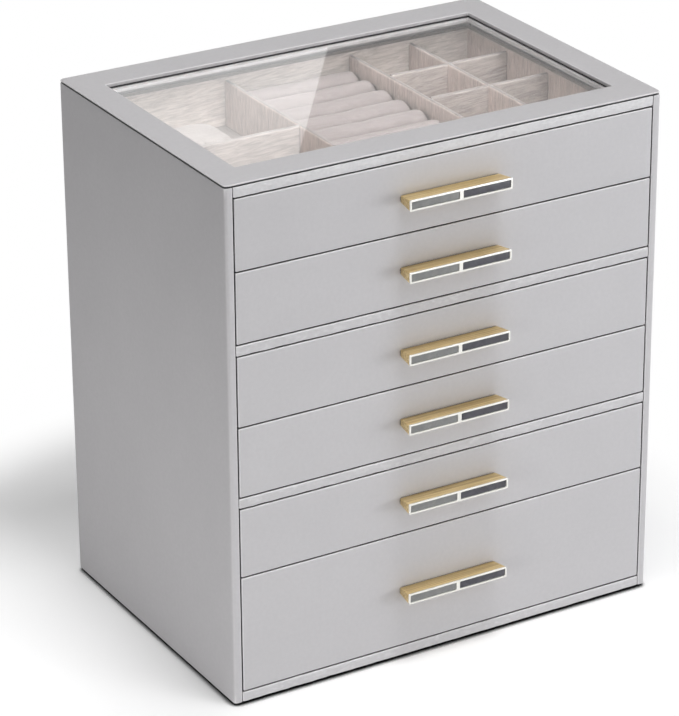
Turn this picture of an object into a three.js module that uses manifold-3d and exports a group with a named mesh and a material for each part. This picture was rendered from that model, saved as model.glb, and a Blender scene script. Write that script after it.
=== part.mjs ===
// Tiered jewelry box: a leatherette-wrapped case with a glass window in its top and six drawers in three bays.
// Millimetres, +Z up, the drawers open towards -Y. The origin is the centre of the face that the box rests on.
import * as THREE from "three";
import { RoundedBoxGeometry } from "three/addons/geometries/RoundedBoxGeometry.js";
import { mergeVertices } from "three/addons/utils/BufferGeometryUtils.js";
import Module from "manifold-3d";

// Case: two sides, a back and four boards, glued edge to edge
const CASE_WIDTH = 280;
const CASE_DEPTH = 195;
const SIDE_THICKNESS = 5;
const BACK_THICKNESS = 4;
const BOARD_THICKNESS = 6;
const SIDE_OUTER_RADIUS = 2.2;
const SIDE_INNER_RADIUS = 0.8;
const SIDE_END_RADIUS = 0.6;
const BOARD_EDGE_RADIUS = 0.8;
const SEAM = 0.3;
const FELT_THICKNESS = 1.2;
const FELT_INSET = 3;

// Bay boards: thin hidden boards that carry the upper drawer of each bay
const BAY_BOARD_THICKNESS = 2.4;
const BAY_BOARD_SETBACK = 1;
const BAY_GROOVE_DEPTH = 1.5;

// Window: a thin cover frame over a pane that lies in a rebate of the top board
const WINDOW_SIDE_BAND = 18.5;
const WINDOW_FRONT_BAND = 22;
const WINDOW_FRAME_THICKNESS = 1.6;
const WINDOW_EDGE_RADIUS = 0.7;
const WINDOW_CORNER_RADIUS = 2.6;
const GLASS_THICKNESS = 2;
const GLASS_LAP = 4;
const GLASS_COVER_GAP = 0.5;

// Drawers: a front board glued to an open tray
const SMALL_FRONT_HEIGHT = 41.6;
const DEEP_FRONT_HEIGHT = 71;
const FRONT_THICKNESS = 7;
const FRONT_EDGE_RADIUS = 0.8;
const FRONT_GAP = 0.8;
const TRAY_WALL = 5;
const TRAY_FLOOR = 2.5;
const TRAY_TOP_DROP = 7;
const TRAY_SIDE_GAP = 1;
const TRAY_BACK_GAP = 1;
const TRAY_RUN_GAP = 0.5;
const TRAY_EDGE_RADIUS = 1.2;
const TRAY_CORNER_RADIUS = 2.4;

// Dividers: velvet-wrapped board with a round top
const DIVIDER_THICKNESS = 3;
const DIVIDER_DROP = 2.5;

// Top drawer: two compartments, a bed of ring rolls and a grid of small compartments
const ROLL_SECTION_WIDTH = 81;
const GRID_SECTION_WIDTH = 80.4;
const ROLL_HEIGHT = 22;
const ROLL_GAP = 0.6;
const ROLL_END_GAP = 0.8;
const ROLL_END_ROUND = 2;
const ROLL_FOOT_RADIUS = 1.6;
const CUSHION_HEIGHT = 19.5;

// Handles: a tapered bar with two inlays, held by two screws from behind the front board
const HANDLE_LENGTH = 66;
const HANDLE_HEIGHT = 6.6;
const HANDLE_DEPTH = 12;
const HANDLE_TAPER = 1.2;
const HANDLE_CORNER_RADIUS = 0.5;
const HANDLE_CHAMFER = 0.2;
const HANDLE_RIM = 0.9;
const HANDLE_MULLION = 2;
const INLAY_RECESS = 0.4;
const INLAY_THICKNESS = 0.8;
const INLAY_GAP = 0.2;
const INLAY_CORNER_RADIUS = 0.5;
const SCREW_SPACING = 32;
const SCREW_RADIUS = 1.5;
const SCREW_HEAD_RADIUS = 3;
const SCREW_HEAD_THICKNESS = 1.8;
const SCREW_CLEARANCE = 0.3;

// Overrun of every cut and join, and the distance within which two vertices are one
const OVERRUN = 0.5;
const WELD = 0.0002;

// Counts
const GRID_ROWS = 4;
const ROLL_COUNT = 9;
const EDGE_STEPS = 2;
const CORNER_STEPS = 2;
const DIVIDER_STEPS = 6;
const ROLL_STEPS = 12;
const SCREW_SIDES = 12;
const CUSHION_RINGS = 14;
const CUSHION_STEPS = 22;

// Where the fixed partitions of drawers 2 to 5 stand, as shares of the tray's inner width
const TWO_PARTITION_SHARES = [1 / 3, 2 / 3];
const ONE_PARTITION_SHARES = [1 / 2];

// Cushion: its shares of its compartment, its outline's squareness, and the share of its size left at its ends
const CUSHION_WIDTH_SHARE = 0.5;
const CUSHION_DEPTH_SHARE = 0.47;
const CUSHION_SQUARENESS = 3.2;
const CUSHION_END_SHARE = 0.45;

// Bays from the bottom up, each with its lower and its upper drawer
const BAYS = [
  { name: "lower", drawers: [6, 5] },
  { name: "middle", drawers: [4, 3] },
  { name: "upper", drawers: [2, 1] },
];
const DEEP_DRAWER = 6;
const WINDOW_DRAWER = 1;
const PARTITION_SHARES = new Map([
  [2, TWO_PARTITION_SHARES],
  [3, ONE_PARTITION_SHARES],
  [4, TWO_PARTITION_SHARES],
  [5, ONE_PARTITION_SHARES],
]);

// Places that several pieces share
const frontY = -CASE_DEPTH / 2;
const backY = CASE_DEPTH / 2;
const bayWidth = CASE_WIDTH - 2 * SIDE_THICKNESS;
const backInnerY = backY - BACK_THICKNESS;
const caseBottomZ = FELT_THICKNESS + SEAM;
const bays = stackBays();
const caseTopZ = bays.at(-1).ceilingZ + BOARD_THICKNESS;
const caseHeight = caseTopZ - caseBottomZ;

// Tray: its place behind the drawer front, in the drawer's own frame
const trayFrontY = FRONT_THICKNESS + SEAM;
const trayBackY = CASE_DEPTH - BACK_THICKNESS - TRAY_BACK_GAP;
const trayWidth = bayWidth - 2 * TRAY_SIDE_GAP;
const innerWidth = trayWidth - 2 * TRAY_WALL;
const innerFrontY = trayFrontY + TRAY_WALL;
const innerBackY = trayBackY - TRAY_WALL;
const innerDepth = innerBackY - innerFrontY;

const wasm = await Module();
wasm.setup();

// Heights of each bay's floor, seam and ceiling, worked out from the drawer fronts
function stackBays() {
  const stacked = [];
  let floorZ = caseBottomZ + BOARD_THICKNESS;
  for (const { name, drawers } of BAYS) {
    const [lower, upper] = drawers;
    const lowerZ = floorZ + FRONT_GAP;
    const seamZ = lowerZ + frontHeight(lower) + FRONT_GAP / 2;
    const upperZ = seamZ + FRONT_GAP / 2;
    const ceilingZ = upperZ + frontHeight(upper) + FRONT_GAP;
    const boardTopZ = seamZ + BAY_BOARD_THICKNESS / 2;
    stacked.push({
      name,
      seamZ,
      ceilingZ,
      drawers: [
        { number: lower, frontZ: lowerZ, seatZ: floorZ },
        { number: upper, frontZ: upperZ, seatZ: boardTopZ },
      ],
    });
    floorZ = ceilingZ + BOARD_THICKNESS;
  }
  return stacked;
}

function frontHeight(number) {
  return number === DEEP_DRAWER ? DEEP_FRONT_HEIGHT : SMALL_FRONT_HEIGHT;
}

// Materials: each mesh gets its own copy
function leatherette() {
  return new THREE.MeshStandardMaterial({ color: 0xc4c3c6, roughness: 0.55, metalness: 0 });
}

function velvet() {
  return new THREE.MeshStandardMaterial({ color: 0xcdc6c3, roughness: 0.95, metalness: 0 });
}

function backFelt() {
  return new THREE.MeshStandardMaterial({ color: 0x55555a, roughness: 1, metalness: 0 });
}

function gold() {
  return new THREE.MeshStandardMaterial({ color: 0xc9a25e, roughness: 0.32, metalness: 1 });
}

function paleInlay() {
  return new THREE.MeshStandardMaterial({ color: 0x80868a, roughness: 0.25, metalness: 0 });
}

function darkInlay() {
  return new THREE.MeshStandardMaterial({ color: 0x3e3e46, roughness: 0.2, metalness: 0 });
}

function glass() {
  return new THREE.MeshStandardMaterial({
    color: 0xe6eeec,
    roughness: 0.03,
    metalness: 0,
    transparent: true,
    opacity: 0.3,
  });
}

// Solid of a closed geometry
function solidOf(geometry) {
  const bare = geometry.index ? geometry.toNonIndexed() : geometry.clone();
  bare.deleteAttribute("normal");
  bare.deleteAttribute("uv");
  const merged = mergeVertices(bare, WELD);
  return new wasm.Manifold(
    new wasm.Mesh({
      numProp: 3,
      vertProperties: merged.attributes.position.array,
      triVerts: new Uint32Array(merged.index.array),
    }),
  );
}

// Geometry of a solid
function geometryOf(solid) {
  const mesh = solid.getMesh();
  const geometry = new THREE.BufferGeometry();
  geometry.setAttribute("position", new THREE.BufferAttribute(mesh.vertProperties, 3));
  geometry.setIndex(new THREE.BufferAttribute(mesh.triVerts, 1));
  geometry.computeVertexNormals();
  return geometry;
}

function cut(geometry, cutters) {
  let solid = solidOf(geometry);
  for (const cutter of cutters) {
    solid = solid.subtract(solidOf(cutter));
  }
  return geometryOf(solid);
}

function join(geometry, others) {
  let solid = solidOf(geometry);
  for (const other of others) {
    solid = solid.add(solidOf(other));
  }
  return geometryOf(solid);
}

// Box between two corners
function block(low, high) {
  const geometry = new THREE.BoxGeometry(high.x - low.x, high.y - low.y, high.z - low.z);
  return geometry.translate((low.x + high.x) / 2, (low.y + high.y) / 2, (low.z + high.z) / 2);
}

// Board with wrapped, rounded edges between two corners
function wrappedBoard(low, high, radius) {
  const width = high.x - low.x;
  const depth = high.y - low.y;
  const height = high.z - low.z;
  const geometry = new RoundedBoxGeometry(width, depth, height, EDGE_STEPS, radius);
  return geometry.translate((low.x + high.x) / 2, (low.y + high.y) / 2, (low.z + high.z) / 2);
}

// Rectangle about the origin, as a hole's path
function rectangularHole(width, height) {
  const path = new THREE.Path();
  path.moveTo(-width / 2, -height / 2);
  path.lineTo(width / 2, -height / 2);
  path.lineTo(width / 2, height / 2);
  path.lineTo(-width / 2, height / 2);
  path.closePath();
  return path;
}

// Upright rectangular ring with rounded rims: its outer size, its walls along X and Y, bottom and height,
// and its radii at the rims and at its upright corners
function ring(centre, width, depth, walls, bottomZ, height, radii) {
  const round = Math.min(radii.rim, height / 2, walls.x / 2, walls.y / 2);
  const corner = Math.max(radii.corner, 2 * round);
  const shape = new THREE.Shape(roundedRectangle(width, depth, evenCorners(corner)));
  shape.holes.push(rectangularHole(width - 2 * walls.x, depth - 2 * walls.y));
  const geometry = new THREE.ExtrudeGeometry(shape, {
    depth: height - 2 * round,
    bevelThickness: round,
    bevelSize: round,
    bevelOffset: -round,
    bevelSegments: EDGE_STEPS,
  });
  return geometry.translate(centre.x, centre.y, bottomZ + round);
}

// Divider with a round top, lying along X, its foot on z = 0 and its middle at the origin
function divider(length, height) {
  const half = DIVIDER_THICKNESS / 2;
  const shape = new THREE.Shape();
  shape.moveTo(-half, 0);
  shape.lineTo(half, 0);
  shape.lineTo(half, height - half);
  shape.absarc(0, height - half, half, 0, Math.PI);
  shape.closePath();
  const geometry = new THREE.ExtrudeGeometry(shape, {
    depth: length,
    bevelEnabled: false,
    curveSegments: DIVIDER_STEPS,
  });
  geometry.rotateX(Math.PI / 2);
  geometry.rotateZ(Math.PI / 2);
  return geometry.translate(-length / 2, 0, 0);
}

// Closed skin over rings of equal point counts that turn anticlockwise about the way they advance
function loft(rings) {
  const count = rings[0].length;
  const positions = rings.flat().flatMap((point) => [point.x, point.y, point.z]);
  const faces = [];
  for (let i = 0; i + 1 < rings.length; i += 1) {
    for (let j = 0; j < count; j += 1) {
      const a = i * count + j;
      const b = i * count + ((j + 1) % count);
      faces.push(a, b, b + count);
      faces.push(a, b + count, a + count);
    }
  }
  const last = (rings.length - 1) * count;
  for (let j = 1; j + 1 < count; j += 1) {
    faces.push(0, j + 1, j);
    faces.push(last, last + j, last + j + 1);
  }
  const geometry = new THREE.BufferGeometry();
  geometry.setAttribute("position", new THREE.Float32BufferAttribute(positions, 3));
  geometry.setIndex(faces);
  geometry.computeVertexNormals();
  return geometry;
}

// Points of a rounded rectangle about the origin, anticlockwise; its radii start at the corner of +X and -Y
function roundedRectangle(width, height, radii) {
  const points = [];
  const corners = [
    [1, -1, -Math.PI / 2],
    [1, 1, 0],
    [-1, 1, Math.PI / 2],
    [-1, -1, Math.PI],
  ];
  for (const [corner, [sideX, sideY, start]] of corners.entries()) {
    const round = Math.min(radii[corner], width / 2, height / 2);
    for (let i = 0; i <= CORNER_STEPS; i += 1) {
      const angle = start + (i / CORNER_STEPS) * (Math.PI / 2);
      const x = sideX * (width / 2 - round) + round * Math.cos(angle);
      const y = sideY * (height / 2 - round) + round * Math.sin(angle);
      points.push(new THREE.Vector2(x, y));
    }
  }
  return points;
}

function evenCorners(radius) {
  return [radius, radius, radius, radius];
}

// Case
function buildCase(box) {
  const boardHalf = bayWidth / 2 - SEAM;
  const boardBackY = backInnerY - SEAM;
  const addBoard = (name, bottomZ, cutters = []) => {
    const low = new THREE.Vector3(-boardHalf, frontY, bottomZ);
    const high = new THREE.Vector3(boardHalf, boardBackY, bottomZ + BOARD_THICKNESS);
    const board = wrappedBoard(low, high, BOARD_EDGE_RADIUS);
    addPiece(box, name, cutters.length ? cut(board, cutters) : board, leatherette());
  };
  addBoard("base_board", caseBottomZ);
  addBoard("lower_shelf", bays[0].ceilingZ);
  addBoard("upper_shelf", bays[1].ceilingZ);
  addBoard("top_board", bays[2].ceilingZ, windowCutters(bays[2].ceilingZ));

  const backLow = new THREE.Vector3(-boardHalf, backInnerY, caseBottomZ);
  const backHigh = new THREE.Vector3(boardHalf, backY, caseTopZ);
  addPiece(box, "back_panel", wrappedBoard(backLow, backHigh, BOARD_EDGE_RADIUS), leatherette());

  const feltX = CASE_WIDTH / 2 - FELT_INSET;
  const feltY = CASE_DEPTH / 2 - FELT_INSET;
  const feltLow = new THREE.Vector3(-feltX, -feltY, 0);
  const feltHigh = new THREE.Vector3(feltX, feltY, FELT_THICKNESS);
  addPiece(box, "base_felt", block(feltLow, feltHigh), backFelt());

  for (const [name, side] of [["left_side_panel", -1], ["right_side_panel", 1]]) {
    addPiece(box, name, sidePanel(side), leatherette());
  }
  for (const bay of bays) {
    addPiece(box, `${bay.name}_bay_board`, bayBoard(bay), velvet());
  }
}

// Side panel with a stopped groove for each bay board
function sidePanel(side) {
  const innerX = (side * bayWidth) / 2;
  const grooveX = innerX + side * BAY_GROOVE_DEPTH;
  const openX = innerX - side * OVERRUN;
  const grooves = bays.map(({ seamZ }) => {
    const reachZ = BAY_BOARD_THICKNESS / 2 + SEAM;
    const grooveLow = new THREE.Vector3(Math.min(grooveX, openX), bayBoardFrontY() - SEAM, seamZ - reachZ);
    const grooveHigh = new THREE.Vector3(Math.max(grooveX, openX), backInnerY, seamZ + reachZ);
    return block(grooveLow, grooveHigh);
  });
  return cut(wrappedSide(side), grooves);
}

// Side panel's wrap: soft outer edges, crisp inner edges, and rings from its foot to its top
function wrappedSide(side) {
  const middleX = (side * (CASE_WIDTH - SIDE_THICKNESS)) / 2;
  const outer = Math.min(SIDE_OUTER_RADIUS, SIDE_THICKNESS / 2);
  const inner = Math.min(SIDE_INNER_RADIUS, SIDE_THICKNESS / 2);
  const end = Math.min(SIDE_END_RADIUS, outer / 2, inner / 2);
  const radii = side < 0 ? [inner, inner, outer, outer] : [outer, outer, inner, inner];
  const stations = [];
  for (let i = 0; i <= EDGE_STEPS; i += 1) {
    const turn = (i / EDGE_STEPS) * (Math.PI / 2);
    stations.push({ rise: end * (1 - Math.cos(turn)), inset: end * (1 - Math.sin(turn)) });
  }
  const ringAt = (z, inset) => {
    const reduced = radii.map((radius) => radius - inset);
    const outline = roundedRectangle(SIDE_THICKNESS - 2 * inset, CASE_DEPTH - 2 * inset, reduced);
    return outline.map((point) => new THREE.Vector3(middleX + point.x, point.y, z));
  };
  const lower = stations.map(({ rise, inset }) => ringAt(caseBottomZ + rise, inset));
  const upper = stations.map(({ rise, inset }) => ringAt(caseTopZ - rise, inset)).reverse();
  return loft([...lower, ...upper]);
}

function bayBoardFrontY() {
  return frontY + FRONT_THICKNESS + BAY_BOARD_SETBACK;
}

function bayBoard({ seamZ }) {
  const reachX = bayWidth / 2 + BAY_GROOVE_DEPTH - SEAM;
  const reachZ = BAY_BOARD_THICKNESS / 2;
  const low = new THREE.Vector3(-reachX, bayBoardFrontY(), seamZ - reachZ);
  const high = new THREE.Vector3(reachX, backInnerY - SEAM, seamZ + reachZ);
  return block(low, high);
}

// Window
function windowOpening() {
  return new THREE.Vector2(CASE_WIDTH / 2 - WINDOW_SIDE_BAND, CASE_DEPTH / 2 - WINDOW_FRONT_BAND);
}

// Opening through the top board, and the rebate that holds the pane
function windowCutters(boardZ) {
  const opening = windowOpening();
  const rebateZ = boardZ + BOARD_THICKNESS - GLASS_COVER_GAP - GLASS_THICKNESS - SEAM;
  const topZ = boardZ + BOARD_THICKNESS + OVERRUN;
  const through = block(
    new THREE.Vector3(-opening.x, -opening.y, boardZ - OVERRUN),
    new THREE.Vector3(opening.x, opening.y, topZ),
  );
  const rebate = block(
    new THREE.Vector3(-opening.x - GLASS_LAP, -opening.y - GLASS_LAP, rebateZ),
    new THREE.Vector3(opening.x + GLASS_LAP, opening.y + GLASS_LAP, topZ),
  );
  return [through, rebate];
}

function buildWindow(box) {
  const opening = windowOpening();
  const centre = new THREE.Vector2(0, 0);
  const bands = new THREE.Vector2(WINDOW_SIDE_BAND, WINDOW_FRONT_BAND);
  const radii = { rim: WINDOW_EDGE_RADIUS, corner: WINDOW_CORNER_RADIUS };
  const bottomZ = caseTopZ + SEAM;
  const frame = ring(centre, CASE_WIDTH, CASE_DEPTH, bands, bottomZ, WINDOW_FRAME_THICKNESS, radii);
  addPiece(box, "window_frame", frame, leatherette());

  const reach = GLASS_LAP - SEAM;
  const paneTopZ = caseTopZ - GLASS_COVER_GAP;
  const pane = block(
    new THREE.Vector3(-opening.x - reach, -opening.y - reach, paneTopZ - GLASS_THICKNESS),
    new THREE.Vector3(opening.x + reach, opening.y + reach, paneTopZ),
  );
  addPiece(box, "window_glass", pane, glass());
}

// Drawer: everything below is in the drawer's own frame, whose origin is the foot of its front face
function buildDrawer(box, { number, frontZ, seatZ }) {
  const drawer = new THREE.Group();
  drawer.position.set(0, frontY, frontZ);
  box.add(drawer);
  const name = `drawer_${number}`;
  const height = frontHeight(number);
  const trayBottomZ = seatZ + TRAY_RUN_GAP - frontZ;
  const trayTopZ = height - TRAY_TOP_DROP;
  const floorZ = trayBottomZ + TRAY_FLOOR;
  addPiece(drawer, `${name}_front`, drawerFront(height), leatherette());
  const partitions = (PARTITION_SHARES.get(number) ?? []).map((share) =>
    partition(share, floorZ, trayTopZ),
  );
  addPiece(drawer, `${name}_tray`, tray(trayBottomZ, trayTopZ, partitions), velvet());
  buildHandle(drawer, name, height / 2);
  if (number === WINDOW_DRAWER) {
    buildInserts(drawer, name, floorZ + SEAM, trayTopZ - DIVIDER_DROP);
  }
}

// Front board, with a stepped hole for each handle screw
function drawerFront(height) {
  const halfWidth = bayWidth / 2 - FRONT_GAP;
  const low = new THREE.Vector3(-halfWidth, 0, 0);
  const high = new THREE.Vector3(halfWidth, FRONT_THICKNESS, height);
  const headSeatY = FRONT_THICKNESS - SCREW_HEAD_THICKNESS - SCREW_CLEARANCE;
  const holes = [];
  for (const side of [-1, 1]) {
    const x = (side * SCREW_SPACING) / 2;
    const shank = SCREW_RADIUS + SCREW_CLEARANCE;
    const head = SCREW_HEAD_RADIUS + SCREW_CLEARANCE;
    holes.push(rod(x, height / 2, shank, -OVERRUN, FRONT_THICKNESS));
    holes.push(rod(x, height / 2, head, headSeatY, FRONT_THICKNESS + OVERRUN));
  }
  return cut(wrappedBoard(low, high, FRONT_EDGE_RADIUS), holes);
}

// Round rod along Y
function rod(x, z, radius, fromY, toY) {
  const geometry = new THREE.CylinderGeometry(radius, radius, toY - fromY, SCREW_SIDES);
  return geometry.translate(x, (fromY + toY) / 2, z);
}

// Open tray: a ring of walls with soft rims on a floor, with any partitions grown into it
function tray(bottomZ, topZ, partitions) {
  const centre = new THREE.Vector2(0, (trayFrontY + trayBackY) / 2);
  const depth = trayBackY - trayFrontY;
  const wall = new THREE.Vector2(TRAY_WALL, TRAY_WALL);
  const radii = { rim: TRAY_EDGE_RADIUS, corner: TRAY_CORNER_RADIUS };
  const walls = ring(centre, trayWidth, depth, wall, bottomZ, topZ - bottomZ, radii);
  const floorX = innerWidth / 2 + TRAY_WALL / 2;
  const floorLow = new THREE.Vector3(-floorX, innerFrontY - TRAY_WALL / 2, bottomZ);
  const floorHigh = new THREE.Vector3(floorX, innerBackY + TRAY_WALL / 2, bottomZ + TRAY_FLOOR);
  return join(walls, [block(floorLow, floorHigh), ...partitions]);
}

// Partition across the tray's depth, rooted in its floor and walls
function partition(share, floorZ, trayTopZ) {
  const height = trayTopZ - DIVIDER_DROP - floorZ + OVERRUN;
  const wall = divider(innerDepth + 2 * OVERRUN, height).rotateZ(Math.PI / 2);
  const x = innerWidth * (share - 1 / 2);
  return wall.translate(x, (innerFrontY + innerBackY) / 2, floorZ - OVERRUN);
}

// Handle: a bar that widens towards its front, its two screws, and an inlay in each pocket
function buildHandle(drawer, name, centreZ) {
  const pocket = handlePocket();
  const pocketDepth = INLAY_RECESS + INLAY_THICKNESS + INLAY_GAP;
  const pockets = [];
  for (const side of [-1, 1]) {
    const from = -HANDLE_DEPTH - SEAM - OVERRUN;
    const to = -HANDLE_DEPTH - SEAM + pocketDepth;
    pockets.push(plate(side * pocket.x, centreZ, pocket.width, pocket.height, from, to, INLAY_CORNER_RADIUS));
  }
  const bar = cut(handleBar(centreZ), pockets);
  addPiece(drawer, `${name}_handle`, join(bar, handleScrews(centreZ)), gold());

  const inlayFrom = -HANDLE_DEPTH - SEAM + INLAY_RECESS;
  const inlayTo = inlayFrom + INLAY_THICKNESS;
  const inlayWidth = pocket.width - 2 * INLAY_GAP;
  const inlayHeight = pocket.height - 2 * INLAY_GAP;
  const inlayRadius = INLAY_CORNER_RADIUS - INLAY_GAP;
  for (const [word, side, material] of [["left", -1, paleInlay()], ["right", 1, darkInlay()]]) {
    const inlay = plate(side * pocket.x, centreZ, inlayWidth, inlayHeight, inlayFrom, inlayTo, inlayRadius);
    addPiece(drawer, `${name}_inlay_${word}`, inlay, material);
  }
}

// Size of each pocket in the handle's front face, and how far its middle lies from the handle's
function handlePocket() {
  const width = (HANDLE_LENGTH - 2 * HANDLE_RIM - HANDLE_MULLION) / 2;
  const height = HANDLE_HEIGHT - 2 * HANDLE_RIM;
  const x = (HANDLE_MULLION + width) / 2;
  return { width, height, x };
}

// Flat plate with rounded corners that faces along Y
function plate(x, z, width, height, fromY, toY, radius) {
  const outline = roundedRectangle(width, height, evenCorners(radius));
  const at = (y) => outline.map((point) => new THREE.Vector3(x + point.x, y, z + point.y));
  return loft([at(toY), at(fromY)]);
}

// Bar of the handle: rings from its seat on the drawer front out to its front face
function handleBar(centreZ) {
  const seatY = -SEAM;
  const faceY = -HANDLE_DEPTH - SEAM;
  const stations = [
    { y: seatY, inset: HANDLE_TAPER + HANDLE_CHAMFER },
    { y: seatY - HANDLE_CHAMFER, inset: HANDLE_TAPER },
    { y: faceY + HANDLE_CHAMFER, inset: 0 },
    { y: faceY, inset: HANDLE_CHAMFER },
  ];
  const rings = stations.map(({ y, inset }) => {
    const width = HANDLE_LENGTH - 2 * inset;
    const height = HANDLE_HEIGHT - 2 * inset;
    const outline = roundedRectangle(width, height, evenCorners(HANDLE_CORNER_RADIUS));
    return outline.map((point) => new THREE.Vector3(point.x, y, centreZ + point.y));
  });
  return loft(rings);
}

// Shanks and heads of the handle's two screws
function handleScrews(centreZ) {
  const headY = FRONT_THICKNESS - SCREW_HEAD_THICKNESS;
  const screws = [];
  for (const side of [-1, 1]) {
    const x = (side * SCREW_SPACING) / 2;
    screws.push(rod(x, centreZ, SCREW_RADIUS, -SEAM - OVERRUN, headY + SCREW_HEAD_THICKNESS / 2));
    screws.push(rod(x, centreZ, SCREW_HEAD_RADIUS, headY, FRONT_THICKNESS));
  }
  return screws;
}

// Inserts of the top drawer: dividers, ring rolls and a cushion, all standing on its floor
function buildInserts(drawer, name, footZ, topZ) {
  const half = DIVIDER_THICKNESS / 2;
  const height = topZ - footZ;
  const middleY = (innerFrontY + innerBackY) / 2;
  const rightX = innerWidth / 2 - GRID_SECTION_WIDTH - half;
  const leftX = rightX - ROLL_SECTION_WIDTH - DIVIDER_THICKNESS;
  const longLength = innerDepth - 2 * SEAM;
  for (const [word, x] of [["left", leftX], ["right", rightX]]) {
    const wall = divider(longLength, height).rotateZ(Math.PI / 2);
    addPiece(drawer, `${name}_${word}_divider`, wall.translate(x, middleY, footZ), velvet());
  }

  const leftSection = { low: -innerWidth / 2, high: leftX - half };
  const crossLength = leftSection.high - leftSection.low - 2 * SEAM;
  const crossX = (leftSection.low + leftSection.high) / 2;
  const cross = divider(crossLength, height).translate(crossX, middleY, footZ);
  addPiece(drawer, `${name}_cross_divider`, cross, velvet());

  buildGrid(drawer, name, { low: rightX + half, high: innerWidth / 2, footZ, height });
  buildRolls(drawer, name, (leftX + rightX) / 2, footZ);

  const compartmentWidth = leftSection.high - leftSection.low;
  const compartmentDepth = innerBackY - middleY - half;
  const cushionMiddle = new THREE.Vector2(crossX, innerBackY - compartmentDepth / 2);
  const cushionSize = new THREE.Vector2(
    compartmentWidth * CUSHION_WIDTH_SHARE,
    compartmentDepth * CUSHION_DEPTH_SHARE,
  );
  addPiece(drawer, `${name}_bracelet_cushion`, cushion(cushionMiddle, cushionSize, footZ), velvet());
}

// Grid of small compartments: a spine and cross pieces, halved into each other
function buildGrid(drawer, name, { low, high, footZ, height }) {
  const middleX = (low + high) / 2;
  const middleY = (innerFrontY + innerBackY) / 2;
  const slotHalf = DIVIDER_THICKNESS / 2 + SEAM;
  const rowDepth = (innerDepth - (GRID_ROWS - 1) * DIVIDER_THICKNESS) / GRID_ROWS;
  const slotCutters = [];
  for (let row = 1; row < GRID_ROWS; row += 1) {
    const y = innerBackY - row * (rowDepth + DIVIDER_THICKNESS) + DIVIDER_THICKNESS / 2;
    const piece = divider(high - low - 2 * SEAM, height).translate(middleX, y, footZ);
    const lowerSlot = block(
      new THREE.Vector3(middleX - slotHalf, y - slotHalf, footZ - OVERRUN),
      new THREE.Vector3(middleX + slotHalf, y + slotHalf, footZ + height / 2),
    );
    addPiece(drawer, `${name}_grid_cross_${row}`, cut(piece, [lowerSlot]), velvet());
    slotCutters.push(
      block(
        new THREE.Vector3(middleX - slotHalf, y - slotHalf, footZ + height / 2 - SEAM),
        new THREE.Vector3(middleX + slotHalf, y + slotHalf, footZ + height + OVERRUN),
      ),
    );
  }
  const spine = divider(innerDepth - 2 * SEAM, height).rotateZ(Math.PI / 2);
  const placed = spine.translate(middleX, middleY, footZ);
  addPiece(drawer, `${name}_grid_spine`, cut(placed, slotCutters), velvet());
}

// Ring rolls: soft bars side by side, from the back of the tray to its front
function buildRolls(drawer, name, centreX, footZ) {
  const pitch = innerDepth / ROLL_COUNT;
  const roll = ringRoll(ROLL_SECTION_WIDTH - 2 * ROLL_END_GAP, pitch - ROLL_GAP, ROLL_HEIGHT);
  for (let i = 0; i < ROLL_COUNT; i += 1) {
    const y = innerBackY - (i + 1 / 2) * pitch;
    const piece = roll.clone().translate(centreX, y, footZ);
    addPiece(drawer, `${name}_ring_roll_${i + 1}`, piece, velvet());
  }
}

// One ring roll along X: a flat foot, upright flanks, a round crown and drawn-in ends
function ringRoll(length, width, height) {
  const half = length / 2;
  const stations = [];
  for (const side of [-1, 1]) {
    for (let i = 0; i <= EDGE_STEPS; i += 1) {
      const turn = ((side < 0 ? i : EDGE_STEPS - i) / EDGE_STEPS) * (Math.PI / 2);
      const inset = ROLL_END_ROUND * (1 - Math.sin(turn));
      const x = side * (half - ROLL_END_ROUND * (1 - Math.cos(turn)));
      stations.push({ x, inset });
    }
  }
  return loft(stations.map(({ x, inset }) => rollProfile(x, width - 2 * inset, height - inset)));
}

// Ring of a roll's outline at one place along X, anticlockwise about +X
function rollProfile(x, width, height) {
  const half = width / 2;
  const foot = Math.min(ROLL_FOOT_RADIUS, half);
  const points = [new THREE.Vector3(x, -half + foot, 0), new THREE.Vector3(x, half - foot, 0)];
  for (let i = 0; i <= ROLL_STEPS; i += 1) {
    const angle = (i / ROLL_STEPS) * Math.PI;
    points.push(new THREE.Vector3(x, half * Math.cos(angle), height - half + half * Math.sin(angle)));
  }
  points.splice(2, 0, new THREE.Vector3(x, half, foot));
  points.push(new THREE.Vector3(x, -half, foot));
  return points;
}

// Bracelet cushion, its middle and its size from above: crowned, its sides drawn in towards its ends
function cushion(middle, size, footZ) {
  const half = size.clone().divideScalar(2);
  const rings = [];
  for (let i = 0; i < CUSHION_RINGS; i += 1) {
    const turn = (i / (CUSHION_RINGS - 1) - 1 / 2) * Math.PI;
    const along = Math.sin(turn);
    const fullness = Math.pow(1 - Math.pow(Math.abs(along), CUSHION_SQUARENESS), 1 / CUSHION_SQUARENESS);
    const share = CUSHION_END_SHARE + (1 - CUSHION_END_SHARE) * fullness;
    const ringPoints = [];
    for (let j = 0; j < CUSHION_STEPS; j += 1) {
      const angle = (j / CUSHION_STEPS) * 2 * Math.PI - Math.PI / 2;
      const across = roundTo(Math.cos(angle), CUSHION_SQUARENESS);
      const up = roundTo(Math.sin(angle), CUSHION_SQUARENESS);
      const y = middle.y + half.y * share * across;
      const z = footZ + (CUSHION_HEIGHT / 2) * share * (1 + up);
      ringPoints.push(new THREE.Vector3(middle.x + half.x * along, y, z));
    }
    rings.push(ringPoints);
  }
  return loft(rings);
}

// Cosine or sine of a circle, pushed out towards a square
function roundTo(value, squareness) {
  return Math.sign(value) * Math.pow(Math.abs(value), 2 / squareness);
}

function addPiece(parent, name, geometry, material) {
  const mesh = new THREE.Mesh(geometry, material);
  mesh.name = name;
  parent.add(mesh);
}

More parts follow.
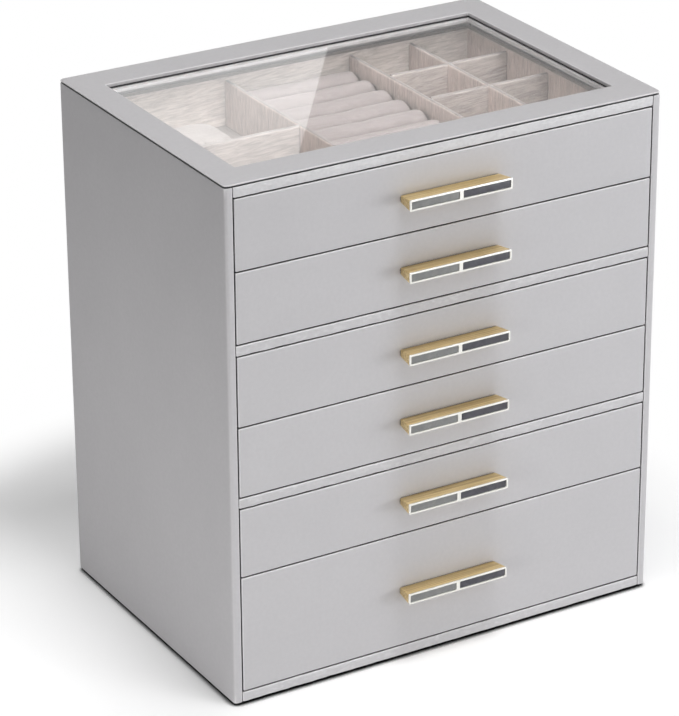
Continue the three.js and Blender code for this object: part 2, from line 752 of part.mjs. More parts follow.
const box = new THREE.Group();
buildCase(box);
buildWindow(box);
for (const bay of bays) {
  for (const drawer of bay.drawers) {
    buildDrawer(box, drawer);
  }
}

export default box;
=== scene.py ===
import math

import bpy
import numpy as np
from mathutils import Euler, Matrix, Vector, noise
from mathutils.geometry import delaunay_2d_cdt


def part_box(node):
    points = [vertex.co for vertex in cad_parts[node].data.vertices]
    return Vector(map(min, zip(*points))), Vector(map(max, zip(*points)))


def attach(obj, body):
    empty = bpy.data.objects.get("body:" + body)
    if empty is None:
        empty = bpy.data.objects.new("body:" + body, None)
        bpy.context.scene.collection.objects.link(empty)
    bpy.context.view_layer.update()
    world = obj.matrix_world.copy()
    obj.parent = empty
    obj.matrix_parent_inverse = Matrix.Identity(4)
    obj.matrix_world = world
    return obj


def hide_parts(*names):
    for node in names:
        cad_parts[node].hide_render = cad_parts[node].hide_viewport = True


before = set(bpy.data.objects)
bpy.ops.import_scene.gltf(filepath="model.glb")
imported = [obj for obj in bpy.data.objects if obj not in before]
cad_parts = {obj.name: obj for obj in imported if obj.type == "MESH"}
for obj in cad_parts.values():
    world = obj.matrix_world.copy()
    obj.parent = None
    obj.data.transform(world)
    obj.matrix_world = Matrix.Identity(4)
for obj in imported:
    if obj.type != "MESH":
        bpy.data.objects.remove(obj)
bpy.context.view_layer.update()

MM = 0.001
DRAWERS = (1, 2, 3, 4, 5, 6)
WINDOW_DRAWER = 1
CASE = "case"
NOISE_SEED = 1

# Places of the two metals in a handle's list of materials
BRUSHED = 0
POLISHED = 1

# Sizes that repeat the CAD's, in millimetres
SIDE_OUTER_RADIUS = 2.2
SIDE_INNER_RADIUS = 0.8
BOARD_RADIUS = 0.8
COVER_RADIUS = 0.7
COVER_CORNER_RADIUS = 2.6
FRONT_RADIUS = 0.8
FRONT_THICKNESS = 7.0
TRAY_WALL = 5.0
TRAY_FLOOR = 2.5
TRAY_CORNER_OUT = 2.4
DIVIDER_DROP = 2.5
DIVIDER_THICKNESS = 3.0
SEAM = 0.3
HALF_OPENING = (121.5, 75.5)
GLASS_LAP = 4.0
REBATE_DEPTH = 2.8
HANDLE_DEPTH = 12.0
HANDLE_TAPER = 1.2
HANDLE_RIM = 0.9
HANDLE_MULLION = 2.0
POCKET_DEPTH = 1.4
SCREW_SPACING = 32.0
SCREW_RADIUS = 1.5
SCREW_HEAD_RADIUS = 3.0
SCREW_HEAD_THICKNESS = 1.8

# Where the partitions of a drawer stand, as shares of its inner width, as in the CAD
PARTITIONS = {2: (1 / 3, 2 / 3), 3: (1 / 2,), 4: (1 / 3, 2 / 3), 5: (1 / 2,)}

# Rounding and trim that only the looks have, in millimetres
SIDE_END_RADIUS = 0.35
TOP_EDGE_RADIUS = 0.3
OPENING_CORNER = 0.6
LEDGE_LIFT = 0.2
LEDGE_RADIUS = 0.5
LEDGE_NICK = 0.3
UNDERCUT = 1.6
UNDERCUT_HEIGHT = 0.75
COVER_EDGE_RADIUS = 0.5
COVER_CORNER_IN = 0.8
LIP_DROP = 0.7
LIP_RADIUS = 0.25
LIP_CLEARANCE = 0.8
LIP_LEAN = 0.2
TRAY_RIM = 2.2
TRAY_FOOT = 0.8
TRAY_CORNER_IN = 1.0
TRAY_CORNER_GROWTH = 0.2
TRAY_BASE_CHAMFER = 0.4
PARTITION_SUNK = 0.3
PARTITION_LAP = 0.5
HANDLE_CORNER = 0.55
HANDLE_CHAMFER = 0.16
HANDLE_SEAT_CHAMFER = 0.3
POLISHED_DEPTH = 0.9
POCKET_CORNER = 0.5
POCKET_MOUTH_CORNER = 0.52
POCKET_BREAK = 0.03
POCKET_BREAK_DEPTH = 0.06
INLAY_TRIM = 0.15
INLAY_CORNER = 0.35
INLAY_EDGE = 0.22
SCREW_LAP = 0.2
SCREW_HEAD_ROUND = 0.3
SCREW_HEAD_SLOPE = 0.4

# How the wraps lie, in millimetres: a WAVE is the height of their puckers and a PITCH the way between two,
# a MARGIN round the opening lies even, and puckers fade from an edge to a share of their height on the flats
EDGE_REACH = 7.0
FLAT_SHARE = 0.25
FINE_SHARE = 0.5
FINE_SCALE = 2.7
BOARD_PITCH = 9.0
BOARD_WAVE = 0.06
RAIL_PITCH = 5.0
RAIL_WAVE = 0.2
TOP_WAVE = 0.16
SIDE_PITCH = 38.0
SIDE_WAVE = 0.1
COVER_PITCH = 24.0
COVER_WAVE = 0.07
COVER_MARGIN = 5.0
TOP_MARGIN = 9.0
DIVIDER_WAVE = 0.2
PARTITION_WAVE = 0.15
WALL_PITCH = 18.0
WALL_STEP = 6.0

# Shading: how much of the painted edge highlight the side panels' outer edges show, and the least sharp edge
# in degrees
OUTER_HIGHLIGHT_SHARE = 0.3
SMOOTH_ANGLE = 48.0

# Padding, in millimetres, each of which is CLOTH_UNIT metres while it is blown up as cloth
CLOTH_UNIT = 0.01
CLOTH_STEPS = 20
CLOTH_SLACK = 0.06
PRESSURE = 4.0
ROLL_SLACK = 0.35
ROLL_VOXEL = 1.0
ROLL_CAP = 0.45
ROLL_FIRM = 1.5
ROLL_END_START = 0.9
ROLL_END_REACH = 4.2
ROLL_END_WIDTH = 0.74
ROLL_END_HEIGHT = 0.82
ROLL_FOOT = 1.6
ROLL_FOOT_MIDDLE = 0.5
ROLL_FOOT_TOP = 1.8
ROLL_LIE = 0.25
ROLL_LIE_PITCH = (12.0, 10.0, 10.0)
ROLL_LIE_SEED = 7.3
ROLL_LIE_FROM = 1.0
ROLL_LIE_REACH = 5.0

# Rings of a roll's domed end: share of the section's size, and way in from the end
ROLL_DOME = ((0.35, 0.0), (0.72, 0.25), (0.93, 0.7))

CUSHION_SLACK = 1.2
CUSHION_VOXEL = 1.4
CUSHION_CAP = 1.2
CUSHION_FIRM = 1.0
CUSHION_CROWN = 2.6
CUSHION_TIP = 0.30
CUSHION_CORNERS = 4
CUSHION_PULL = 0.022

# Copies of one velvet by what they cover and which way it faces, paler or darker as painted light and shade:
# turn of the streaks in degrees, darkest and palest colour, and for the padding the reach in metres of its
# painted shade in gaps, and the shares of rays that get away where that shade is darkest and where it is
# clear
VELVETS = (
    ("facing_y", (0, 3, 0), (0.59, 0.53, 0.495), (0.94, 0.855, 0.805)),
    ("facing_x", (0, 84, 0), (0.50, 0.412, 0.378), (0.80, 0.665, 0.612)),
    ("level", (0, 0, 30), (0.262, 0.23, 0.214), (0.42, 0.372, 0.348)),
    ("cross", (0, 4, 0), (0.40, 0.35, 0.328), (0.70, 0.62, 0.585)),
    ("rim", (0, 0, 0), (0.285, 0.255, 0.244), (0.395, 0.355, 0.341)),
    ("roll", (0, 0, 12), (0.34, 0.296, 0.291), (0.42, 0.368, 0.363), (0.006, 0.2, 0.72)),
    ("pillow", (0, 0, 12), (0.38, 0.342, 0.328), (0.47, 0.427, 0.412), (0.006, 0.14, 0.6)),
)

# Camera: metres, degrees and millimetres of focal length
CAMERA_PLACE = (-0.94310, -1.58600, 0.97926)
CAMERA_TURN = (65.6551, 0.3383, -30.5296)
CAMERA_LENS = 174.08
CAMERA_SENSOR = 36.0

# Studio: light levels, directions of the world's parts, and places on the floor in metres
FILL_LEFT = 0.29
FILL_RIGHT = 0.62
INSIDE_BACK = 0.95
INSIDE_FRONT = 2.6
INSIDE_WAY = (0.0, -0.86, -0.5)
INSIDE_SPAN = (-1.0, 0.45)
GLOSS = 0.40
PANEL_ON = 1.4
PANEL_OFF = 0.10
PANEL_COLOUR = (0.98, 0.99, 1.0)
PANEL_SIDE = (-0.7868, 0.5615, -0.2564)
PANEL_SIDE_SPAN = (-0.0003, 0.0003)
PANEL_WAY = (0.436, 0.832, 0.343)
PANEL_SPAN = (0.955, 0.975)
# The floor's glow for the camera is painted light: strongest round a spot left of the box, weaker further
# away, and stronger again in front
GLOW_HIGH = 0.31
GLOW_LOW = 0.06
GLOW_FRONT = 0.18
LIGHT_SPOT = (-0.25, 0.06, 0.0)
LIGHT_SPOT_INNER = 0.06
LIGHT_SPOT_OUTER = 0.21
FRONT_START = 0.085
FRONT_END = 0.12
SWEEP_CENTRE = (-0.02, 0.02, 0.0)
SWEEP_START = 0.215
SWEEP_END = 0.285
FLOOR_REACH = 6.0
FLOOR_DROP = 0.0002

# Area lights: name, place, what they face, size, watts, spread in degrees and colour
LIGHTS = (
    ("key", (0.03, -0.40, 1.5), (0, 0, 0.15), (0.35, 0.35), 7.4, 180, (1, 1, 1)),
    ("high_front", (0.45, -1.35, 1.25), (0, 0, 0.2), (0.8, 0.8), 1.9, 180, (1, 1, 1)),
    ("low_front", (0.85, -0.87, 0.20), (0, 0, 0.17), (0.8, 0.3), 3.7, 180, (0.97, 1.0, 1.035)),
    ("left", (-1.0, -0.52, 0.22), (-0.14, -0.06, 0.05), (0.4, 0.3), 0.17, 40, (1, 1, 1)),
)


def make_camera():
    data = bpy.data.cameras.new("camera")
    data.lens = CAMERA_LENS
    data.sensor_width = CAMERA_SENSOR
    data.clip_start = 0.05
    data.clip_end = 50.0
    camera = bpy.data.objects.new("camera", data)
    camera.location = CAMERA_PLACE
    camera.rotation_euler = Euler([math.radians(a) for a in CAMERA_TURN], "XYZ")
    bpy.context.scene.collection.objects.link(camera)
    bpy.context.scene.camera = camera


class Nodes:
    """The node tree of a material or of the world, with short calls to add and join nodes."""

    def __init__(self, owner, output="ShaderNodeOutputMaterial"):
        owner.use_nodes = True
        self.owner = owner
        self.tree = owner.node_tree
        self.tree.nodes.clear()
        self.out = self.add(output)

    def add(self, kind, inputs=None, **fields):
        node = self.tree.nodes.new(kind)
        for key, value in fields.items():
            setattr(node, key, value)
        for key, value in (inputs or {}).items():
            if isinstance(value, bpy.types.NodeSocket):
                self.tree.links.new(value, node.inputs[key])
            else:
                node.inputs[key].default_value = value
        return node

    def finish(self, shader):
        """Show this shader, and give back the material or world that it belongs to."""
        self.tree.links.new(shader, self.out.inputs["Surface"])
        return self.owner

    def mapped(self, scale=(1, 1, 1), rotation=(0, 0, 0)):
        """Object coordinates, turned by so many degrees and then scaled along each axis."""
        place = self.add("ShaderNodeTexCoord").outputs["Object"]
        if any(rotation):
            turn = tuple(math.radians(a) for a in rotation)
            place = self.add("ShaderNodeMapping", {"Vector": place, "Rotation": turn}).outputs["Vector"]
        return self.add("ShaderNodeMapping", {"Vector": place, "Scale": scale}).outputs["Vector"]

    def attribute(self, name):
        return self.add("ShaderNodeAttribute", attribute_name=name).outputs["Fac"]

    def ray(self, kind):
        """1 for rays of this kind, and 0 for all others."""
        return self.add("ShaderNodeLightPath").outputs[kind]

    def noise(self, vector, scale=1.0, detail=3.0, roughness=0.5, distortion=0.0):
        fields = {
            "Vector": vector,
            "Scale": scale,
            "Detail": detail,
            "Roughness": roughness,
            "Distortion": distortion,
        }
        return self.add("ShaderNodeTexNoise", fields).outputs["Fac"]

    def remap(self, value, low, high, to_low=0.0, to_high=1.0, kind="LINEAR"):
        fields = {
            "Value": value,
            "From Min": low,
            "From Max": high,
            "To Min": to_low,
            "To Max": to_high,
        }
        return self.add("ShaderNodeMapRange", fields, interpolation_type=kind).outputs["Result"]

    def seam(self, reach, dark, clear):
        """Mask for painted shade: 1 down in a gap and 0 in the open, by the share of rays, reach metres
        long, that get away.
        """
        away = self.add("ShaderNodeAmbientOcclusion", {"Distance": reach}, samples=6).outputs["AO"]
        return self.remap(away, dark, clear, 1.0, 0.0)

    def distance(self, place, centre, near, far, at_near, at_far):
        """Soft step from one value to another, between two distances from a centre."""
        away = self.add("ShaderNodeVectorMath", {0: place, 1: centre}, operation="DISTANCE")
        return self.remap(away.outputs["Value"], near, far, at_near, at_far, "SMOOTHSTEP")

    def along(self, place, way, span, to_low, to_high):
        """Soft step from one value to another, over a span measured along a way."""
        reach = self.add("ShaderNodeVectorMath", {0: place, 1: way}, operation="DOT_PRODUCT")
        return self.remap(reach.outputs["Value"], *span, to_low, to_high, "SMOOTHSTEP")

    def math(self, operation, first, second):
        return self.add("ShaderNodeMath", {0: first, 1: second}, operation=operation).outputs[0]

    def mix(self, factor, first, second):
        fields = {"Factor": factor, "A": first, "B": second}
        return self.add("ShaderNodeMix", fields, data_type="RGBA").outputs["Result"]

    def bump(self, height, distance, strength=1.0, under=None):
        fields = {"Height": height, "Distance": distance, "Strength": strength}
        if under is not None:
            fields["Normal"] = under
        return self.add("ShaderNodeBump", fields).outputs["Normal"]

    def principled(self, **inputs):
        """Principled shader; an underscore stands for the space in a socket's name."""
        fields = {key.replace("_", " "): value for key, value in inputs.items()}
        return self.add("ShaderNodeBsdfPrincipled", fields).outputs["BSDF"]

    def emission(self, colour):
        return self.add("ShaderNodeEmission", {"Color": colour, "Strength": 1.0}).outputs[0]

    def diffuse(self, colour):
        return self.add("ShaderNodeBsdfDiffuse", {"Color": colour}).outputs[0]

    def background(self, strength, colour=(1, 1, 1)):
        fields = {"Color": rgba(*colour), "Strength": strength}
        return self.add("ShaderNodeBackground", fields).outputs[0]

    def either(self, factor, first, second):
        """The first shader where factor is 0, and the second where it is 1."""
        return self.add("ShaderNodeMixShader", {0: factor, 1: first, 2: second}).outputs[0]


def rgba(r, g, b):
    return (r, g, b, 1.0)


# Materials
def leatherette_material(name, low, high, crease_and_highlight=0.0):
    """Fine pebbled wrap with a painted highlight over its edges and painted shade down in its seams and
    tight corners; on a narrow rail it has folds, with a painted highlight on them.
    """
    n = Nodes(bpy.data.materials.new(name))
    place = n.mapped()
    cloud = n.noise(place, scale=22.0, detail=4.0, roughness=0.55)
    fleck = n.noise(place, scale=420.0, roughness=0.6)
    pucker = n.noise(n.mapped((150, 210, 330)), roughness=0.55, distortion=0.9)
    voronoi = {"Vector": place, "Scale": 1350.0, "Randomness": 1.0}
    cells = n.add("ShaderNodeTexVoronoi", voronoi, feature="SMOOTH_F1").outputs["Distance"]

    fleck_colour = rgba(0.50, 0.49, 0.502)
    crease_highlight_colour = rgba(0.80, 0.79, 0.80)
    edge_highlight_colour = rgba(0.92, 0.905, 0.915)
    gap_shade_colour = rgba(0.012, 0.012, 0.014)
    tint = n.mix(n.remap(cloud, 0.3, 0.7), rgba(*low), rgba(*high))
    plain = n.mix(n.remap(fleck, 0.35, 0.65, to_high=0.3), tint, fleck_colour)
    # Painted highlight on the folds of a rail, scaled like their bumps
    crease_highlight = n.math("MULTIPLY", n.remap(pucker, 0.5, 0.72), crease_and_highlight)
    pulled = n.mix(crease_highlight, plain, crease_highlight_colour)
    # Painted highlight where the wrap turns over its rounded edges
    turned = n.mix(n.math("MULTIPLY", n.attribute("edge"), 0.8), pulled, edge_highlight_colour)
    # Painted shade: near black down in gaps and tight corners
    shade = n.mix(n.seam(0.0024, dark=0.25, clear=0.52), turned, gap_shade_colour)

    swell = n.bump(n.noise(place, scale=70.0, detail=2.0), distance=0.0003, strength=0.04)
    folds = n.bump(pucker, distance=0.0009, strength=crease_and_highlight, under=swell)
    pebble = n.bump(cells, distance=0.00006, strength=0.4, under=folds)
    normal = n.bump(fleck, distance=0.00004, strength=0.2, under=pebble)
    rough = n.remap(cells, 0.0, 0.6, 0.46, 0.58)
    shader = n.principled(Base_Color=shade, Roughness=rough, Normal=normal, Specular_IOR_Level=0.42)
    return n.finish(shader)


def velvet_material(name, turn, low, high, seam=(0.003, 0.08, 0.42)):
    """Crushed nap: wavy streaks that lie along X once turned by so many degrees, and painted shade as dark
    hairlines at the seams and in tight corners.
    """
    n = Nodes(bpy.data.materials.new(name))
    place = n.mapped()
    streak = n.noise(n.mapped((42, 430, 430), turn), detail=4.0, roughness=0.6, distortion=1.7)
    hair = n.noise(n.mapped((130, 1250, 1250), turn), roughness=0.6, distortion=1.2)
    blotch = n.noise(place, scale=75.0, distortion=0.6)
    pile = n.noise(place, scale=1900.0, detail=2.0, roughness=0.6)
    broad = n.math("ADD", n.math("MULTIPLY", streak, 0.6), n.math("MULTIPLY", blotch, 0.12))
    nap = n.math("ADD", broad, n.math("MULTIPLY", hair, 0.28))

    pile_colour = rgba(*(0.72 * c for c in low))
    # Colour of the painted shade at the seams and in tight corners
    gap_shade_colour = rgba(0.085, 0.078, 0.078)
    colour = n.mix(n.remap(nap, 0.40, 0.60), rgba(*low), rgba(*high))
    fine = n.mix(n.remap(pile, 0.35, 0.65, to_high=0.22), colour, pile_colour)
    ruffled = n.bump(nap, distance=0.0008, strength=0.5)
    shader = n.principled(
        Base_Color=n.mix(n.seam(*seam), fine, gap_shade_colour),
        Roughness=n.remap(nap, 0.3, 0.7, 0.95, 0.8),
        Normal=n.bump(pile, distance=0.00012, strength=0.5, under=ruffled),
        Specular_IOR_Level=0.15,
        Sheen_Weight=0.3,
        Sheen_Roughness=0.45,
        Sheen_Tint=rgba(1.0, 0.97, 0.955),
    )
    return n.finish(shader)


def felt_material():
    n = Nodes(bpy.data.materials.new("base_felt"))
    fibre = n.noise(n.mapped(), scale=900.0, detail=4.0, roughness=0.7, distortion=1.0)
    shader = n.principled(
        Base_Color=n.mix(n.remap(fibre, 0.3, 0.7), rgba(0.06, 0.06, 0.066), rgba(0.13, 0.13, 0.14)),
        Roughness=0.95,
        Normal=n.bump(fibre, distance=0.0002, strength=0.6),
        Specular_IOR_Level=0.1,
    )
    return n.finish(shader)


def brushed_gold_material():
    """Satin gold with fine brush marks along X."""
    n = Nodes(bpy.data.materials.new("gold_brushed"))
    brush = n.noise(n.mapped((16, 1000, 1000)), detail=4.0, roughness=0.65)
    shader = n.principled(
        Base_Color=n.mix(n.remap(brush, 0.38, 0.62), rgba(0.64, 0.44, 0.17), rgba(1.0, 0.80, 0.42)),
        Metallic=0.5,
        Roughness=n.remap(brush, 0.3, 0.7, 0.42, 0.3),
        Normal=n.bump(brush, distance=0.00003, strength=0.6),
    )
    return n.finish(shader)


def polished_gold_material():
    n = Nodes(bpy.data.materials.new("gold_polished"))
    fine = n.noise(n.mapped(), scale=700.0, roughness=0.6)
    shader = n.principled(
        # Near-white colour: a painted highlight for the glint of the polished face
        Base_Color=n.mix(n.remap(fine, 0.3, 0.7), rgba(1.0, 0.975, 0.90), rgba(1.0, 0.99, 0.95)),
        Metallic=0.5,
        Roughness=n.remap(fine, 0.3, 0.7, 0.22, 0.15),
    )
    return n.finish(shader)


def inlay_material(name, low, high):
    n = Nodes(bpy.data.materials.new(name))
    drift = n.noise(n.mapped(), scale=160.0, roughness=0.55, distortion=0.8)
    shader = n.principled(
        Base_Color=n.mix(n.remap(drift, 0.3, 0.7), rgba(*low), rgba(*high)),
        Roughness=n.remap(drift, 0.3, 0.7, 0.16, 0.10),
        Normal=n.bump(drift, distance=0.00002, strength=0.3),
        Coat_Weight=0.5,
        Coat_Roughness=0.04,
    )
    return n.finish(shader)


def glass_material():
    """Clear glass that lets the lamps' light straight through."""
    n = Nodes(bpy.data.materials.new("window_glass"))
    ripple = n.noise(n.mapped(), scale=9.0, detail=1.0)
    glass = n.principled(
        Base_Color=rgba(0.99, 0.99, 0.985),
        Roughness=0.0,
        IOR=1.5,
        Transmission_Weight=1.0,
        Normal=n.bump(ripple, distance=0.00002, strength=0.2),
    )
    clear = n.add("ShaderNodeBsdfTransparent", {"Color": rgba(0.94, 0.945, 0.94)}).outputs["BSDF"]
    return n.finish(n.either(n.ray("Is Shadow Ray"), glass, clear))


# Meshes
def add_mesh(name, points, faces, materials, body, slot, replaces, face_slots=None):
    """Piece with its points in millimetres, which rides a body in the place of CAD nodes."""
    mesh = bpy.data.meshes.new(name)
    mesh.from_pydata([tuple(c * MM for c in p) for p in points], [], faces)
    for material in materials:
        mesh.materials.append(material)
    if face_slots is not None:
        mesh.polygons.foreach_set("material_index", face_slots)
    mesh.validate()
    mesh.polygons.foreach_set("use_smooth", [True] * len(mesh.polygons))
    mesh.update()
    # Leatherette gets the attribute for its painted edge highlight
    if slot == "leatherette":
        mark_edge_highlight(mesh)
    piece = bpy.data.objects.new(name, mesh)
    bpy.context.scene.collection.objects.link(piece)
    limit = piece.modifiers.new("shade_by_angle", "EDGE_SPLIT")
    limit.split_angle = math.radians(SMOOTH_ANGLE)
    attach(piece, body)
    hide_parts(*replaces)
    return piece


def mark_edge_highlight(mesh):
    """Attribute that is 1 where the wrap turns over an edge at 45 degrees, and 0 on its flats; the
    leatherette paints a highlight by it.
    """
    normals = np.empty(len(mesh.vertices) * 3)
    mesh.vertices.foreach_get("normal", normals)
    largest = np.abs(normals.reshape(-1, 3)).max(axis=1)
    turned = np.clip((1 - largest) / (1 - math.cos(math.pi / 4)), 0, 1)
    mesh.attributes.new("edge", "FLOAT", "POINT").data.foreach_set("value", turned.astype(np.float32))


class Build:
    """Points and faces of one piece, added shape by shape, in millimetres."""

    def __init__(self):
        self.points = []
        self.faces = []
        self.slots = []

    def loft(self, rings, last_cap=True, ring_slots=None):
        """Skin over rings of equal point counts, capped at its first ring and, if asked, at its last."""
        start, count = len(self.points), len(rings[0])
        slots = ring_slots or [0] * len(rings)
        for ring in rings:
            self.points.extend(ring)
        for i in range(len(rings) - 1):
            self.join(start + i * count, start + (i + 1) * count, count, slots[i])
        self.faces.append(tuple(start + j for j in reversed(range(count))))
        self.slots.append(slots[0])
        if last_cap:
            last = start + (len(rings) - 1) * count
            self.faces.append(tuple(last + j for j in range(count)))
            self.slots.append(slots[-1])

    def loop(self, rings):
        """Skin over rings whose last joins the first, as round a frame."""
        start, count = len(self.points), len(rings[0])
        for ring in rings:
            self.points.extend(ring)
        for i in range(len(rings)):
            self.join(start + i * count, start + (i + 1) % len(rings) * count, count, 0)

    def join(self, first, second, count, slot):
        for j in range(count):
            k = (j + 1) % count
            self.faces.append((first + j, first + k, second + k, second + j))
            self.slots.append(slot)

    def ripple(self, wave, pitch, seed, still=None):
        """Uneven lie of a wrap: points drift by up to about wave, but for those that still() picks."""
        for k, point in enumerate(self.points):
            if still and still(point):
                continue
            place = Vector(point) / pitch + Vector((seed, seed, seed))
            self.points[k] = tuple(Vector(point) + noise.noise_vector(place) * wave)

    def sort_by_facing(self):
        """Slot 0 for faces that look along Y, 1 for those that look along X and 2 for the level ones."""
        for k, face in enumerate(self.faces):
            corners = [Vector(self.points[i]) for i in face[:4]]
            across = corners[2] - corners[0]
            other = corners[3 % len(corners)] - corners[1]
            way = [abs(c) for c in across.cross(other)]
            self.slots[k] = {1: 0, 0: 1, 2: 2}[way.index(max(way))]

    def add_to(self, name, materials, body, slot, replaces):
        return add_mesh(name, self.points, self.faces, materials, body, slot, replaces, self.slots)


def grid_lines(half, radius, step):
    """Grid places across a rounded face: close where it turns over its edge, then about a step apart."""
    inner = half - radius
    turned = [radius * math.tan(math.pi / 4 * k / 3) for k in (1, 2, 3)]
    middle = np.linspace(-inner, inner, max(2, math.ceil(2 * inner / step) + 1))
    return np.concatenate([[-inner - t for t in reversed(turned)], middle, [inner + t for t in turned]])


def quarter(steps):
    """Cosines and sines from 0 to 90 degrees."""
    return [(math.cos(math.pi / 2 * k / steps), math.sin(math.pi / 2 * k / steps)) for k in range(steps + 1)]


def rounded_box(low, high, radius, steps, wave, seed, pitch):
    """Points and faces of a wrapped board; the wrap puckers by about wave along its edges."""
    centre, half = (low + high) / 2, (high - low) / 2
    lines = [grid_lines(h, radius, step) for h, step in zip(half, steps)]
    inner = half - radius
    index, points, faces = {}, [], []

    def vertex(p):
        core = np.clip(p, -inner, inner)
        way = p - core
        way = way / np.linalg.norm(way)
        at = core + way * radius
        key = tuple(np.round(at, 4))
        if key not in index:
            index[key] = len(points)
            place = Vector(((at + centre) / pitch + seed).tolist())
            room = sorted(half - np.abs(at))[1]
            near = math.exp(-((room / EDGE_REACH) ** 2))
            push = noise.noise(place) + FINE_SHARE * noise.noise(place * FINE_SCALE)
            points.append(at + way * wave * push * (FLAT_SHARE + (1 - FLAT_SHARE) * near) + centre)
        return index[key]

    for axis in range(3):
        u, v = (axis + 1) % 3, (axis + 2) % 3
        for side in (-1, 1):
            rows = []
            for a in lines[u]:
                row = []
                for b in lines[v]:
                    p = np.zeros(3)
                    p[axis], p[u], p[v] = side * half[axis], a, b
                    row.append(vertex(p))
                rows.append(row)
            for i in range(len(rows) - 1):
                for j in range(len(rows[0]) - 1):
                    quad = (rows[i][j], rows[i + 1][j], rows[i + 1][j + 1], rows[i][j + 1])
                    faces.append(quad if side > 0 else quad[::-1])
    return points, faces


def box_mm(node):
    low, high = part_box(node)
    return np.array(low) / MM, np.array(high) / MM


def wrapped(node, body, material, radius, steps, wave, seed, pitch=BOARD_PITCH):
    """Wrapped board, its grid about so many millimetres apart along each axis."""
    points, faces = rounded_box(*box_mm(node), radius, steps, wave, seed, pitch)
    add_mesh(node + "_wrap", points, faces, [material], body, "leatherette", [node])


def rectangle_ring(centre, half_x, half_y, radii, z, steps=4, runs=(1, 1)):
    """Points round an upright rectangle with round corners at height z, anticlockwise from above.

    radii starts at the corner of +X and -Y, or is one radius for all, and runs counts the steps of the
    straight sides along X and along Y.
    """
    arcs = []
    corners = ((1, -1, -90), (1, 1, 0), (-1, 1, 90), (-1, -1, 180))
    radii = radii if isinstance(radii, (tuple, list)) else (radii,) * 4
    for (side_x, side_y, start), radius in zip(corners, radii):
        arc = []
        for k in range(steps + 1):
            angle = math.radians(start + 90 * k / steps)
            x = side_x * (half_x - radius) + radius * math.cos(angle)
            y = side_y * (half_y - radius) + radius * math.sin(angle)
            arc.append((centre[0] + x, centre[1] + y, z))
        arcs.append(arc)
    ring = []
    for k, arc in enumerate(arcs):
        ring.extend(arc)
        start, end = arc[-1], arcs[(k + 1) % 4][0]
        count = runs[1 - k % 2]
        for i in range(1, count):
            ring.append(tuple(a + (b - a) * i / count for a, b in zip(start, end)))
    return ring


def band_ring(inner, outer, share, grow, corner, z, runs):
    """Ring that is the inner rectangle at share 0 and the outer one at share 1, made larger by grow."""
    low = inner[0] + (outer[0] - inner[0]) * share - grow
    high = inner[1] + (outer[1] - inner[1]) * share + grow
    middle, half = (low + high) / 2, (high - low) / 2
    return rectangle_ring(middle, half[0], half[1], corner, z, runs=runs)


# Case and window
def build_case(leathers, velvet, felt, glass):
    plain, rail = leathers["plain"], leathers["rail"]
    build_side("left_side_panel", -1, plain)
    build_side("right_side_panel", 1, plain)
    wrapped("back_panel", CASE, plain, BOARD_RADIUS, (8, 8, 8), BOARD_WAVE, seed=9.4)
    # Shelves, base and top board wear the paler rail copies of the leatherette: painted light
    for k, name in enumerate(("base_board", "lower_shelf", "upper_shelf")):
        seed = 20.7 + 5 * k
        wrapped(name, CASE, rail, BOARD_RADIUS, (2.2, 12, 1.5), RAIL_WAVE, seed, RAIL_PITCH)
    build_top_board(leathers["top_rail"])
    build_cover(plain)
    for name in ("lower_bay_board", "middle_bay_board", "upper_bay_board"):
        paint(name, velvet)
    paint("base_felt", felt)
    paint("window_glass", glass)


def paint(node, material):
    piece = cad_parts[node]
    piece.data.materials.clear()
    piece.data.materials.append(material)


def build_side(node, side, leather):
    """Side panel: soft outer edges, which show less of the painted edge highlight, and crisp inner ones."""
    low, high = box_mm(node)
    middle, half = (low + high) / 2, (high - low) / 2
    outer, inner, end = SIDE_OUTER_RADIUS, SIDE_INNER_RADIUS, SIDE_END_RADIUS
    radii = (inner, inner, outer, outer) if side < 0 else (outer, outer, inner, inner)
    rings = []
    for line in grid_lines(half[2], end, step=6.0):
        over = max(0.0, abs(line) - (half[2] - end))
        turn = 2 * math.atan2(over, end)
        inset = end * (1 - math.cos(turn))
        reach = half[2] - end + end * math.sin(turn) if over else abs(line)
        z = middle[2] + math.copysign(reach, line)
        reduced = tuple(radius - inset for radius in radii)
        half_x, half_y = half[0] - inset, half[1] - inset
        rings.append(rectangle_ring(middle, half_x, half_y, reduced, z, steps=6, runs=(1, 26)))
    build = Build()
    build.loft(rings)
    build.ripple(SIDE_WAVE, SIDE_PITCH, seed=3.1 * side)
    piece = build.add_to(node + "_wrap", [leather], CASE, "leatherette", [node])
    # The outer edges keep only a share of the painted highlight
    turned = piece.data.attributes["edge"].data
    for k, vertex in enumerate(piece.data.vertices):
        outside = side * vertex.co.x / MM > side * middle[0]
        if outside and half[2] - abs(vertex.co.z / MM - middle[2]) > end:
            turned[k].value *= OUTER_HIGHLIGHT_SHARE


def near_pane(margin):
    """Test for points over the window's opening or within a margin of it, which a ripple leaves alone."""
    reach_x, reach_y = HALF_OPENING[0] + margin, HALF_OPENING[1] + margin
    return lambda point: abs(point[0]) < reach_x and abs(point[1]) < reach_y


